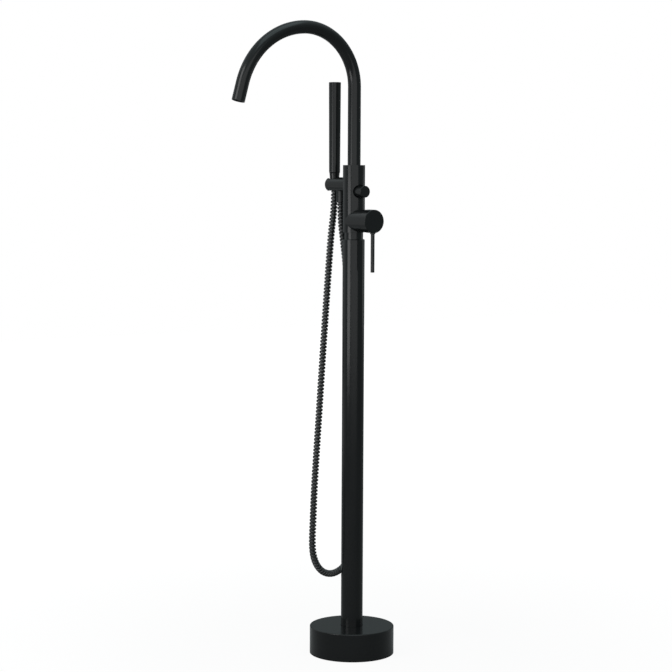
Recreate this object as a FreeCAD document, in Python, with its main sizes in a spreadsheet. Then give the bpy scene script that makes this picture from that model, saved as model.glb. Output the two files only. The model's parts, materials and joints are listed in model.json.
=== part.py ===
import FreeCAD, Part
import math
import os
import re
import Sketcher

# Floor standing bath filler with a swivelling gooseneck spout, a side mixer
# with a pin lever, a pull diverter and a stick handset on a hanging hose.
# Millimetres. The origin is on the floor, on the column's axis. +Z is up,
# +X is the way the spout reaches, +Y is the side of the mixer and diverter,
# and -Y is the side of the handset.

Vector = FreeCAD.Vector
Rotation = FreeCAD.Rotation

# name, value and meaning of every size that can be set by itself
DRIVING = [
    ("gasket_thickness", 2, "rubber gasket under the floor flange"),
    ("flange_radius", 60, "floor flange"),
    ("flange_thickness", 8, "floor flange"),
    ("anchor_circle_radius", 46, "circle of the floor anchor holes"),
    ("anchor_hole_radius", 4.25, "hole for an 8 mm floor anchor"),
    ("anchor_count", 4, "floor anchor holes"),
    ("collar_wall", 6, "wall of the collar that holds the column"),
    ("collar_height", 30, "collar above the flange"),
    ("weld_size", 2, "fillet weld between the collar and the flange"),
    ("column_fit", 0.1, "radial gap between the column and the collar"),
    ("ledge_step", 0.3, "step of the ledge under the column's wall"),
    ("collar_screw_height", 16, "grub screws above the flange"),
    ("collar_screw_count", 3, "grub screws round the collar"),
    ("collar_screw_radius", 3, "M6 grub screw"),
    ("screw_gap", 0.05, "radial gap of a screw in its thread"),
    ("screw_recess", 0.4, "screw end below the surface round it"),
    ("screw_edge_share", 0.2, "chamfer of a grub screw, share of its radius"),
    ("socket_share", 0.55, "corners of a screw's socket, share of its radius"),
    ("socket_start_share", 0.6, "floor of a screw's socket, share of its length"),
    ("cover_radius", 77.3, "round base cover"),
    ("cover_height", 50.6, "round base cover"),
    ("cover_wall", 2.5, "wall of the base cover"),
    ("cover_edge_round", 1.6, "rounded top edge of the base cover"),
    ("cover_hole_gap", 0.4, "radial gap of the cover round the column"),
    ("cover_boss_wall", 5, "boss under the cover's hole"),
    ("cover_boss_depth", 8, "boss under the cover's hole"),
    ("cover_seal_height", 2.4, "groove for the cover's seal"),
    ("cover_seal_depth", 1.6, "groove for the cover's seal"),
    ("seal_gap", 0.05, "gap of a seal in its groove"),
    ("column_radius", 20, "column tube"),
    ("column_wall", 1.5, "column tube"),
    ("column_top", 761.7, "column's top above the floor"),
    ("column_edge", 1.0, "chamfer at the column's top edge"),
    ("plug_fit", 0.1, "radial gap of the head's plug in the column"),
    ("plug_depth", 24, "plug of the column head"),
    ("neck_radius", 17, "narrow neck between the column and the body"),
    ("neck_height", 12.5, "narrow neck"),
    ("spigot_radius", 14, "head's spigot in the valve body"),
    ("spigot_height", 6, "head's spigot in the valve body"),
    ("thread_gap", 0.05, "radial gap of a screwed or pressed joint"),
    ("end_gap", 0.3, "gap beyond the end of a piece in its pocket"),
    ("overrun", 1, "how far a cutting shape passes the surface it opens"),
    ("supply_offset", 9.2, "hot and cold supply hoses from the axis"),
    ("supply_hose_radius", 5.5, "supply hose"),
    ("supply_hose_bore", 3.5, "inner radius of a supply hose"),
    ("supply_thread_radius", 4.9, "hose fitting's thread in the head"),
    ("supply_thread_length", 10, "hose fitting's thread in the head"),
    ("fitting_collar_radius", 6.5, "hexagon part of a hose fitting"),
    ("fitting_collar_height", 8, "hexagon part of a hose fitting"),
    ("ferrule_radius", 6.2, "crimped ferrule on a supply hose"),
    ("ferrule_length", 14, "crimped ferrule on a supply hose"),
    ("union_radius", 8.7, "inlet union at the foot"),
    ("union_base", 2, "mouth of an inlet union above the floor"),
    ("union_length", 20, "inlet union"),
    ("inlet_thread_radius", 7.6, "G3/8 inlet thread"),
    ("inlet_thread_length", 12, "G3/8 inlet thread"),
    ("waterway_radius", 3.2, "drilled waterways"),
    ("body_height", 121.3, "valve body"),
    ("branch_radius", 20.4, "branch that holds the mixer"),
    ("branch_reach", 46, "end of the branch from the axis"),
    ("mixer_height", 21.3, "mixer axis above the body's bottom"),
    ("cartridge_radius", 12.9, "mixer cartridge"),
    ("pocket_gap", 0.1, "radial gap round the cartridge"),
    ("pocket_floor", 14, "cartridge seat from the column's axis"),
    ("seal_disc_thickness", 1.2, "rubber disc under the cartridge"),
    ("seal_disc_hole", 0.5, "locating hole in the middle of the rubber disc"),
    ("cartridge_flange_radius", 16.5, "cartridge flange"),
    ("cartridge_flange_face", 38, "seat of the cartridge flange"),
    ("cartridge_flange_thickness", 2, "cartridge flange"),
    ("rotor_guide_radius", 9, "cartridge's round nose"),
    ("rotor_guide_end", 47, "end of the cartridge's nose"),
    ("nut_thread_radius", 17.1, "ring nut over the cartridge"),
    ("nut_length", 5.5, "ring nut over the cartridge"),
    ("nut_slot_width", 3, "spanner slots in the ring nut"),
    ("nut_slot_depth", 1.6, "spanner slots in the ring nut"),
    ("stem_radius", 5, "turning stem of the mixer"),
    ("running_gap", 0.05, "radial gap of a turning or sliding stem"),
    ("stem_start", 30, "inner end of the stem"),
    ("stem_square", 7, "square end of the stem"),
    ("stem_square_start", 48.6, "start of the square"),
    ("square_gap", 0.05, "gap at each side of the square"),
    ("cap_radius", 20.9, "round handle cap"),
    ("cap_gap", 0.6, "gap between the branch and the cap"),
    ("cap_face", 65, "cap's end face from the column's axis"),
    ("cap_solid", 10, "solid front of the cap"),
    ("cap_skirt_wall", 2.4, "skirt of the cap"),
    ("cap_edge", 0.6, "chamfer at the cap's edge"),
    ("socket_depth", 7, "square socket in the cap"),
    ("pin_set_back", 5, "pin behind the cap's face"),
    ("pin_radius", 3.5, "lever pin"),
    ("pin_reach", 91.5, "pin's tip from the mixer's axis"),
    ("pin_collar_radius", 4.8, "collar at the pin's root"),
    ("pin_collar_height", 1.8, "collar at the pin's root"),
    ("pin_tip_round", 0.8, "rounded tip of the pin"),
    ("pin_thread_radius", 2.5, "pin's thread in the cap"),
    ("pin_thread_length", 8, "pin's thread in the cap"),
    ("small_screw_radius", 2.5, "M5 grub screw"),
    ("diverter_drop", 47.5, "diverter axis below the body's top"),
    ("recess_radius", 12.6, "recess round the diverter knob"),
    ("recess_floor", 14.5, "floor of the recess from the axis"),
    ("bonnet_radius", 9.5, "screwed bonnet of the diverter"),
    ("bonnet_start", 5, "bonnet's inner end"),
    ("bonnet_cavity_radius", 6.5, "room for the return spring"),
    ("bonnet_cavity_end", 11, "room for the return spring"),
    ("chamber_radius", 7, "diverter chamber"),
    ("chamber_start", -9.5, "far end of the diverter chamber"),
    ("rod_radius", 3, "diverter rod"),
    ("rod_collar_radius", 4.5, "collar that carries the diverter seal"),
    ("rod_collar_length", 2, "collar that carries the diverter seal"),
    ("rod_nose_radius", 2, "rod's nose inside the seal"),
    ("diverter_seal_radius", 6.4, "diverter seal"),
    ("diverter_seal_start", -7, "diverter seal at rest"),
    ("diverter_seal_thickness", 3, "diverter seal"),
    ("knob_radius", 10.6, "diverter knob"),
    ("knob_start", 15.2, "knob's inner end"),
    ("knob_face", 36, "knob's end face from the axis"),
    ("knob_edge", 0.7, "chamfer at the knob's edge"),
    ("knob_solid", 5, "solid front of the knob"),
    ("knob_screw_radius", 2, "M4 grub screw"),
    ("knob_screw_set_back", 12, "grub screw behind the knob's face"),
    ("spout_radius", 11.7, "spout tube"),
    ("spout_wall", 1.5, "spout tube"),
    ("socket_gap", 0.2, "radial gap of the spout in its socket"),
    ("spout_socket_depth", 34, "socket in the top of the body"),
    ("bush_wall", 2.4, "plastic bush round the spout"),
    ("bush_height", 8, "plastic bush round the spout"),
    ("washer_thickness", 0.9, "thrust washer under the spout"),
    ("sleeve_length", 18, "turned sleeve at the foot of the spout"),
    ("sleeve_spigot", 8, "sleeve's spigot in the spout tube"),
    ("sleeve_bore", 7, "waterway through the sleeve"),
    ("ring_groove_depth", 1.6, "groove for the spout's sealing ring"),
    ("ring_groove_height", 2.2, "groove for the spout's sealing ring"),
    ("ring_groove_rise", 2.5, "groove above the sleeve's end"),
    ("limit_rise", 11.5, "swivel groove above the sleeve's end"),
    ("limit_height", 4.6, "height of the swivel groove"),
    ("limit_depth", 2.2, "depth of the swivel groove"),
    ("limit_half_angle", 73, "swivel groove to each side, degrees"),
    ("stop_tip_radius", 2, "tip of the stop screw"),
    ("stop_tip_length", 2.6, "tip of the stop screw"),
    ("spout_leg_height", 140.1, "spout's straight leg above the body"),
    ("first_bend_radius", 102.5, "spout's first bend"),
    ("first_bend_angle", 92, "spout's first bend, degrees"),
    ("second_bend_radius", 139, "wider bend past the top"),
    ("second_bend_angle", 72.5, "wider bend past the top, degrees"),
    ("outlet_run", 32, "straight end of the spout"),
    ("aerator_recess", 1, "aerator inside the spout's end"),
    ("aerator_length", 9, "aerator ring"),
    ("aerator_wall", 1.6, "aerator ring"),
    ("aerator_lip", 1, "lip that carries the disc, as wide as it is high"),
    ("aerator_disc", 4, "perforated aerator disc"),
    ("aerator_hole_radius", 0.9, "holes of the aerator disc"),
    ("aerator_inner_circle", 3, "inner circle of holes"),
    ("aerator_outer_circle", 5.7, "outer circle of holes"),
    ("aerator_inner_count", 6, "holes on the inner circle"),
    ("aerator_outer_count", 12, "holes on the outer circle"),
    ("holder_drop", 35.6, "holder axis below the body's top"),
    ("holder_radius", 13.4, "holder arm"),
    ("holder_reach", 77.5, "holder's end from the axis"),
    ("holder_edge_round", 3, "rounded end of the holder"),
    ("saddle_gap", 0.05, "gap between the holder and the body"),
    ("handset_offset", 63.2, "handset axis from the column's axis"),
    ("hose_outlet_offset", 42, "hose outlet from the column's axis"),
    ("liner_radius", 11, "plastic liner of the holder"),
    ("slot_width", 13.4, "slot that lets the hose out"),
    ("liner_rim_gap", 0.3, "liner below the arm's surface"),
    ("outlet_boss_radius", 8.4, "boss over the hose outlet"),
    ("outlet_boss_drop", 0.15, "flat end of the boss below the arm"),
    ("stud_radius", 6, "hollow stud between the holder and the body"),
    ("stud_bore", 3, "hollow stud"),
    ("stud_body_depth", 5.4, "threaded hole for the stud in the body"),
    ("stud_inlet_space", 1.6, "water space between the hole's floor and the stud"),
    ("stud_arm_depth", 10, "stud's end in the holder"),
    ("nipple_radius", 6, "threaded hose nipple"),
    ("nipple_bore", 4, "threaded hose nipple"),
    ("nipple_depth", 9, "nipple inside the holder"),
    ("nipple_reach", 9.5, "nipple below the holder"),
    ("hose_nut_radius", 8.2, "nut on the hose outlet"),
    ("hose_nut_gap", 0.15, "gap between the outlet nut and the boss"),
    ("outlet_nut_length", 18.9, "nut on the hose outlet"),
    ("hose_washer_thickness", 1.5, "hose washers"),
    ("hose_washer_bore", 3.5, "hose washers"),
    ("nut_edge", 0.8, "chamfer at the outlet nut's lower edge"),
    ("valve_length", 12, "check valve cartridge"),
    ("cone_nut_base_radius", 6.9, "lower end of the handset's conical nut"),
    ("cone_nut_top_radius", 9.4, "upper end of the handset's conical nut"),
    ("cone_nut_length", 30, "handset's conical nut"),
    ("cone_nut_drop", 9.4, "nut's lower end below the holder axis"),
    ("cone_gap", 0.3, "gap between the conical nut and the liner"),
    ("handset_thread_radius", 5.5, "handset's thread in the nut"),
    ("handset_thread_length", 14, "handset's thread in the nut"),
    ("handset_base_radius", 10.1, "handset above its shoulder"),
    ("handset_top_radius", 11, "handset at its top"),
    ("shoulder_height", 2, "handset's rounded shoulder"),
    ("shoulder_round", 0.6, "rounding of the shoulder"),
    ("handset_length", 165.5, "handset above the nut"),
    ("handset_bore", 8, "inside of the handset"),
    ("handset_floor", 7, "solid end above the shoulder"),
    ("end_cap_height", 6, "handset's end cap"),
    ("end_cap_spigot", 5, "end cap's spigot in the handset"),
    ("end_cap_edge", 0.6, "chamfer of the end cap"),
    ("spray_width", 8, "window of the spray face"),
    ("spray_length", 84, "window of the spray face"),
    ("spray_top", 12, "window below the end cap"),
    ("spray_plate_set_back", 2.2, "nozzle strip's back behind the surface"),
    ("nozzle_count", 9, "nozzles in each row"),
    ("nozzle_rows", 2, "rows of nozzles"),
    ("nozzle_row_pitch", 3.6, "distance between the rows"),
    ("nozzle_radius", 0.9, "rubber nozzles"),
    ("nozzle_height", 0.8, "rubber nozzles above the strip"),
    ("carrier_thickness", 3, "carrier behind the nozzle strip"),
    ("hose_radius", 6, "shower hose"),
]

# sizes that follow from the driving ones
DERIVED = {
    "flange_top": "gasket_thickness + flange_thickness",
    "flange_opening": "column_radius - column_wall - ledge_step",
    "collar_radius": "column_radius + column_fit + collar_wall",
    "collar_screw_z": "flange_top + collar_screw_height",
    "cover_hole": "column_radius + cover_hole_gap",
    "cover_groove_base": "cover_height - (cover_boss_depth + cover_seal_height) / 2",
    "column_bore": "column_radius - column_wall",
    "plug_base": "column_top - plug_depth",
    "body_base": "column_top + neck_height",
    "body_top": "body_base + body_height",
    "union_top": "union_base + union_length",
    "fitting_base": "plug_base - fitting_collar_height - ferrule_length",
    "mixer_z": "body_base + mixer_height",
    "mixed_z": "mixer_z + 2 * waterway_radius",
    "pocket_radius": "cartridge_radius + pocket_gap",
    "counterbore_radius": "nut_thread_radius + thread_gap",
    "cap_back": "branch_reach + cap_gap",
    "cap_inner_face": "cap_face - cap_solid",
    "pin_y": "cap_face - pin_set_back",
    "diverter_z": "body_top - diverter_drop",
    "spout_bore": "spout_radius + socket_gap",
    "spout_inner": "spout_radius - spout_wall",
    "socket_floor": "body_top - spout_socket_depth",
    "sleeve_base": "socket_floor + washer_thickness + end_gap",
    "leg_base": "sleeve_base + sleeve_length",
    "limit_z": "sleeve_base + limit_rise",
    "limit_radius": "spout_radius - limit_depth",
    "spout_leg_top": "body_top + spout_leg_height",
    "bend_end_angle": "first_bend_angle + second_bend_angle",
    "first_x": "first_bend_radius * (1 - cos(first_bend_angle * 1 deg))",
    "first_z": "spout_leg_top + first_bend_radius * sin(first_bend_angle * 1 deg)",
    "second_x": "first_x + second_bend_radius"
                " * (cos(first_bend_angle * 1 deg) - cos(bend_end_angle * 1 deg))",
    "second_z": "first_z + second_bend_radius"
                " * (sin(bend_end_angle * 1 deg) - sin(first_bend_angle * 1 deg))",
    "aerator_run": "outlet_run - aerator_recess - aerator_length",
    "aerator_x": "second_x + aerator_run * sin(bend_end_angle * 1 deg)",
    "aerator_z": "second_z + aerator_run * cos(bend_end_angle * 1 deg)",
    "holder_z": "body_top - holder_drop",
    "holder_bottom": "holder_z - holder_radius",
    "nipple_base": "holder_bottom - nipple_reach",
    "outlet_face": "holder_bottom - outlet_boss_drop",
    "outlet_nut_top": "outlet_face - hose_nut_gap",
    "outlet_nut_base": "outlet_nut_top - outlet_nut_length",
    "cone_base": "holder_z - cone_nut_drop",
    "cone_top": "cone_base + cone_nut_length",
    "cone_taper": "(cone_nut_top_radius - cone_nut_base_radius) / cone_nut_length",
    "shoulder_z": "cone_top + shoulder_height",
    "handset_top": "cone_top + handset_length",
    "end_cap_base": "handset_top - end_cap_height",
    "spray_high": "end_cap_base - spray_top",
    "spray_low": "spray_high - spray_length",
    "window_root": "handset_bore * 3 / 5",
}

doc = FreeCAD.newDocument("BathFiller")
sheet = doc.addObject("Spreadsheet::Sheet", "Sizes")
for row, (alias, size, meaning) in enumerate(DRIVING, start=1):
    sheet.set(f"A{row}", alias)
    sheet.set(f"B{row}", str(size))
    sheet.set(f"C{row}", meaning)
    sheet.setAlias(f"B{row}", alias)
doc.recompute()

ALIASES = {alias for alias, size, meaning in DRIVING}


def tied(expression):
    """The expression with each size written as a reference to the sheet."""
    def reference(match):
        word = match.group(0)
        if word in ALIASES:
            return f"Sizes.{word}"
        if word in DERIVED:
            return f"({tied(DERIVED[word])})"
        return word
    return re.sub(r"[a-z_]+", reference, expression)


def number(expression):
    """Value of an expression with the sheet's sizes."""
    result = sheet.evalExpression(tied(expression))
    return float(getattr(result, "Value", result))


# Rotations that turn a piece's own +Z towards a direction of the object
FACING = {
    "+Z": Rotation(),
    "-Z": Rotation(Vector(1, 0, 0), 180),
    "+Y": Rotation(Vector(1, 0, 0), -90),
    "-Y": Rotation(Vector(1, 0, 0), 90),
    "+X": Rotation(Vector(0, 1, 0), 90),
    "-X": Rotation(Vector(0, 1, 0), -90),
}
ORIGIN = ("0", "0", "0")
NODES = []
# Two sizes closer than this count as the same, in millimetres
SAME_SIZE = 0.01


def place(piece, at, facing):
    """Put the piece at a point given by three expressions."""
    piece.Placement = FreeCAD.Placement(Vector(), FACING[facing])
    for axis, expression in zip("xyz", at):
        if expression != "0":
            piece.setExpression(f"Placement.Base.{axis}", tied(expression))


def node(piece, label):
    """Name a finished sub-part."""
    piece.Label = label
    NODES.append(piece)
    return piece


def cylinder(radius, length, at=ORIGIN, facing="+Z"):
    piece = doc.addObject("Part::Cylinder", "Cylinder")
    piece.setExpression("Radius", tied(radius))
    piece.setExpression("Height", tied(length))
    place(piece, at, facing)
    return piece


def cone(low_radius, high_radius, length, at=ORIGIN):
    piece = doc.addObject("Part::Cone", "Cone")
    piece.setExpression("Radius1", tied(low_radius))
    piece.setExpression("Radius2", tied(high_radius))
    piece.setExpression("Height", tied(length))
    place(piece, at, "+Z")
    return piece


def box(size_x, size_y, size_z, low_corner):
    piece = doc.addObject("Part::Box", "Box")
    piece.setExpression("Length", tied(size_x))
    piece.setExpression("Width", tied(size_y))
    piece.setExpression("Height", tied(size_z))
    place(piece, low_corner, "+Z")
    return piece


def hexagon(corner_radius, length, at, facing):
    piece = doc.addObject("Part::Prism", "Hexagon")
    piece.Polygon = 6
    piece.setExpression("Circumradius", tied(corner_radius))
    piece.setExpression("Height", tied(length))
    place(piece, at, facing)
    return piece


def fused(pieces):
    union = doc.addObject("Part::MultiFuse", "Union")
    union.Shapes = pieces
    union.Refine = True
    return union


def common(pieces):
    shared = doc.addObject("Part::MultiCommon", "Shared")
    shared.Shapes = pieces
    return shared


def cut(base, tools):
    """Base with every tool taken away."""
    difference = doc.addObject("Part::Cut", "Difference")
    difference.Base = base
    difference.Tool = tools[0] if len(tools) == 1 else fused(tools)
    difference.Refine = True
    return difference


def plane_of(body, role):
    return next(f for f in body.Origin.OriginFeatures if f.Role == role)


def new_sketch(body, role, offset="0"):
    """Sketch on one of the body's own planes, moved along its normal."""
    sketch = body.newObject("Sketcher::SketchObject", "Sketch")
    sketch.AttachmentSupport = [(plane_of(body, role), "")]
    sketch.MapMode = "FlatFace"
    if offset != "0":
        sketch.setExpression("AttachmentOffset.Base.z", tied(offset))
    return sketch


def pin_point(sketch, geometry, point, across, along):
    """Tie one point of the sketch to two expressions."""
    for kind, expression in (("DistanceX", across), ("DistanceY", along)):
        constraint = Sketcher.Constraint(kind, -1, 1, geometry, point, number(expression))
        index = sketch.addConstraint(constraint)
        sketch.setExpression(f"Constraints[{index}]", tied(expression))


def draw_outline(sketch, points):
    """Closed outline of straight lines through tied points."""
    corners = [Vector(number(x), number(y), 0) for x, y in points]
    count = len(corners)
    for index in range(count):
        line = Part.LineSegment(corners[index], corners[(index + 1) % count])
        sketch.addGeometry(line, False)
    for index in range(count):
        following = (index + 1) % count
        sketch.addConstraint(Sketcher.Constraint("Coincident", index, 2, following, 1))
    for index, (across, along) in enumerate(points):
        pin_point(sketch, index, 1, across, along)


def draw_circle(sketch, radius, centre=("0", "0")):
    middle = Vector(number(centre[0]), number(centre[1]), 0)
    circle = Part.Circle(middle, Vector(0, 0, 1), number(radius))
    index = sketch.addGeometry(circle, False)
    if centre == ("0", "0"):
        sketch.addConstraint(Sketcher.Constraint("Coincident", index, 3, -1, 1))
    else:
        pin_point(sketch, index, 3, *centre)
    size = sketch.addConstraint(Sketcher.Constraint("Radius", index, number(radius)))
    sketch.setExpression(f"Constraints[{size}]", tied(radius))


def turned(outline, at=ORIGIN, facing="+Z"):
    """Body of revolution about its own Z from an outline of radius and height."""
    body = doc.addObject("PartDesign::Body", "Turned")
    sketch = new_sketch(body, "XZ_Plane")
    draw_outline(sketch, outline)
    revolution = body.newObject("PartDesign::Revolution", "Revolution")
    revolution.Profile = sketch
    revolution.ReferenceAxis = (sketch, ["V_Axis"])
    revolution.Angle = 360
    place(body, at, facing)
    doc.recompute()
    return body


def pocket(body, sketch, length, towards_normal):
    """Cut the sketch into the body, along or against the sketch's normal."""
    feature = body.newObject("PartDesign::Pocket", "Pocket")
    feature.Profile = sketch
    feature.setExpression("Length", tied(length))
    feature.Reversed = towards_normal
    doc.recompute()
    return feature


def repeat_round(body, feature, count):
    """Polar pattern of one feature about the body's Z."""
    pattern = body.newObject("PartDesign::PolarPattern", "Round")
    pattern.Originals = [feature]
    z_axis = next(f for f in body.Origin.OriginFeatures if f.Role == "Z_Axis")
    pattern.Axis = (z_axis, [""])
    pattern.Angle = 360
    pattern.setExpression("Occurrences", tied(count))
    body.Tip = pattern
    doc.recompute()
    return pattern


def round_edges(body, size, wanted, kind="PartDesign::Fillet", prop="Radius"):
    """Fillet or chamfer the edges of the body's tip that pass a test."""
    doc.recompute()
    base = body.Tip
    names = [
        f"Edge{index}"
        for index, edge in enumerate(base.Shape.Edges, start=1)
        if wanted(edge)
    ]
    feature = body.newObject(kind, "EdgeFinish")
    feature.Base = (base, names)
    feature.setExpression(prop, tied(size))
    body.Tip = feature
    doc.recompute()
    return feature


def circle_at(radius, height):
    """Test for a circular edge about Z with a radius and a height."""
    def test(edge):
        curve = edge.Curve
        if not isinstance(curve, Part.Circle):
            return False
        same_radius = abs(curve.Radius - number(radius)) < SAME_SIZE
        return same_radius and abs(curve.Center.z - number(height)) < SAME_SIZE
    return test


def ring(inner, outer, length, at=ORIGIN, facing="+Z"):
    """Plain ring or disc with a bore."""
    return turned(
        [(inner, "0"), (outer, "0"), (outer, length), (inner, length)], at, facing)


def hexagon_socket(radius, length):
    """Six-sided hole for the key in the +Z end of a screw."""
    return hexagon(f"{radius} * socket_share", length,
                   ("0", "0", f"({length}) * socket_start_share"), "+Z")


def grub_screw(radius, length, at, facing):
    """Headless screw: a threaded barrel with a hexagon socket in its end."""
    outline = [
        ("0", "0"),
        (radius, "0"),
        (radius, f"{length} - {radius} * screw_edge_share"),
        (f"{radius} * (1 - screw_edge_share)", length),
        ("0", length),
    ]
    barrel = turned(outline)
    screw = cut(barrel, [hexagon_socket(radius, length)])
    place(screw, at, facing)
    return screw


# ---------------------------------------------------------------- the foot

def make_floor_gasket():
    """Rubber disc between the flange and the floor, with the anchor holes."""
    body = ring("flange_opening", "flange_radius", "gasket_thickness")
    drill_anchor_holes(body, "gasket_thickness", "0")
    return node(body, "floor_gasket")


def drill_anchor_holes(body, depth, start):
    """Anchor holes on a circle, between the row's X and Y axes."""
    sketch = new_sketch(body, "XY_Plane", start)
    place_on_circle = "anchor_circle_radius * cos(45 * 1 deg)"
    draw_circle(sketch, "anchor_hole_radius", (place_on_circle, place_on_circle))
    hole = pocket(body, sketch, depth, True)
    repeat_round(body, hole, "anchor_count")


def make_floor_flange():
    """Steel flange with a welded collar that the column stands in."""
    outline = [
        ("flange_opening", "gasket_thickness"),
        ("flange_radius", "gasket_thickness"),
        ("flange_radius", "flange_top"),
        ("collar_radius + weld_size", "flange_top"),
        ("collar_radius", "flange_top + weld_size"),
        ("collar_radius", "flange_top + collar_height"),
        ("column_radius + column_fit", "flange_top + collar_height"),
        ("column_radius + column_fit", "flange_top"),
        ("flange_opening", "flange_top"),
    ]
    body = turned(outline)
    drill_anchor_holes(body, "flange_thickness", "gasket_thickness")
    sketch = new_sketch(body, "YZ_Plane")
    draw_circle(sketch, "collar_screw_radius + screw_gap", ("0", "collar_screw_z"))
    hole = pocket(body, sketch, "collar_radius + overrun", True)
    repeat_round(body, hole, "collar_screw_count")
    return node(body, "floor_flange")


def make_collar_screws():
    """Grub screws that clamp the column in the collar."""
    inner = "column_radius + end_gap"
    length = "collar_wall - screw_recess"
    screws = []
    count = int(number("collar_screw_count"))
    for index in range(count):
        screw = grub_screw("collar_screw_radius", length, ORIGIN, "+X")
        turn = Rotation(Vector(0, 0, 1), 360 / count * index)
        screw.Placement = FreeCAD.Placement(Vector(), turn * FACING["+X"])
        share = f"{index} * 360 / collar_screw_count * 1 deg"
        screw.setExpression("Placement.Base.x", tied(f"({inner}) * cos({share})"))
        screw.setExpression("Placement.Base.y", tied(f"({inner}) * sin({share})"))
        screw.setExpression("Placement.Base.z", tied("collar_screw_z"))
        screws.append(screw)
    group = doc.addObject("Part::Compound", "Screws")
    group.Links = screws
    return node(group, "collar_grub_screws")


def make_base_cover():
    """Round shell over the flange, with a boss and a seal groove at its hole."""
    groove_top = "cover_groove_base + cover_seal_height"
    outline = [
        ("cover_radius - cover_wall", "0"),
        ("cover_radius", "0"),
        ("cover_radius", "cover_height"),
        ("cover_hole", "cover_height"),
        ("cover_hole", groove_top),
        ("cover_hole + cover_seal_depth", groove_top),
        ("cover_hole + cover_seal_depth", "cover_groove_base"),
        ("cover_hole", "cover_groove_base"),
        ("cover_hole", "cover_height - cover_boss_depth"),
        ("cover_hole + cover_boss_wall", "cover_height - cover_boss_depth"),
        ("cover_hole + cover_boss_wall", "cover_height - cover_wall"),
        ("cover_radius - cover_wall", "cover_height - cover_wall"),
    ]
    body = turned(outline)
    round_edges(body, "cover_edge_round", circle_at("cover_radius", "cover_height"))
    return node(body, "base_cover")


def make_cover_seal():
    """Rubber ring in the cover's groove, against the column."""
    outer = "cover_hole + cover_seal_depth - seal_gap"
    seal = ring("column_radius + seal_gap", outer, "cover_seal_height - 2 * seal_gap",
                ("0", "0", "cover_groove_base + seal_gap"))
    return node(seal, "cover_seal")


# -------------------------------------------------------------- the column

def make_column_tube():
    """Straight tube from the flange's ledge to the neck."""
    outline = [
        ("column_bore", "flange_top"),
        ("column_radius", "flange_top"),
        ("column_radius", "column_top - column_edge"),
        ("column_radius - column_edge", "column_top"),
        ("column_bore", "column_top"),
    ]
    return node(turned(outline), "column_tube")


def make_column_head():
    """Plug, narrow neck and spigot that carry the valve body."""
    plug = "column_bore - plug_fit"
    outline = [
        ("0", "plug_base"),
        (plug, "plug_base"),
        (plug, "column_top"),
        ("neck_radius", "column_top"),
        ("neck_radius", "body_base"),
        ("spigot_radius", "body_base"),
        ("spigot_radius", "body_base + spigot_height"),
        ("0", "body_base + spigot_height"),
    ]
    tools = []
    for side in ("supply_offset", "-supply_offset"):
        tools.append(cylinder("supply_thread_radius + thread_gap",
                              "supply_thread_length + end_gap",
                              (side, "0", "plug_base")))
        tools.append(cylinder("waterway_radius",
                              "plug_depth + neck_height + spigot_height",
                              (side, "0", "plug_base")))
    return node(cut(turned(outline), tools), "column_head")


def make_supply(name, side):
    """One supply line: inlet union, hose and upper fitting."""
    union = [
        ("supply_hose_bore", "inlet_thread_length"),
        ("inlet_thread_radius", "inlet_thread_length"),
        ("inlet_thread_radius", "0"),
        ("union_radius", "0"),
        ("union_radius", "union_length - ferrule_radius / 3"),
        ("ferrule_radius", "union_length"),
        ("ferrule_radius", "union_length + ferrule_length"),
        ("supply_hose_bore", "union_length + ferrule_length"),
    ]
    node(turned(union, (side, "0", "union_base")), f"{name}_inlet_union")
    hose_base = "union_top + ferrule_length"
    node(ring("supply_hose_bore", "supply_hose_radius",
              f"fitting_base - ({hose_base})", (side, "0", hose_base)),
         f"{name}_supply_hose")
    fitting = [
        ("supply_hose_bore", "0"),
        ("ferrule_radius", "0"),
        ("ferrule_radius", "ferrule_length"),
        ("fitting_collar_radius", "ferrule_length"),
        ("fitting_collar_radius", "ferrule_length + fitting_collar_height"),
        ("supply_thread_radius", "ferrule_length + fitting_collar_height"),
        ("supply_thread_radius",
         "ferrule_length + fitting_collar_height + supply_thread_length"),
        ("supply_hose_bore",
         "ferrule_length + fitting_collar_height + supply_thread_length"),
    ]
    node(turned(fitting, (side, "0", "fitting_base")), f"{name}_hose_fitting")


# ---------------------------------------------------------- the valve body

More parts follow.
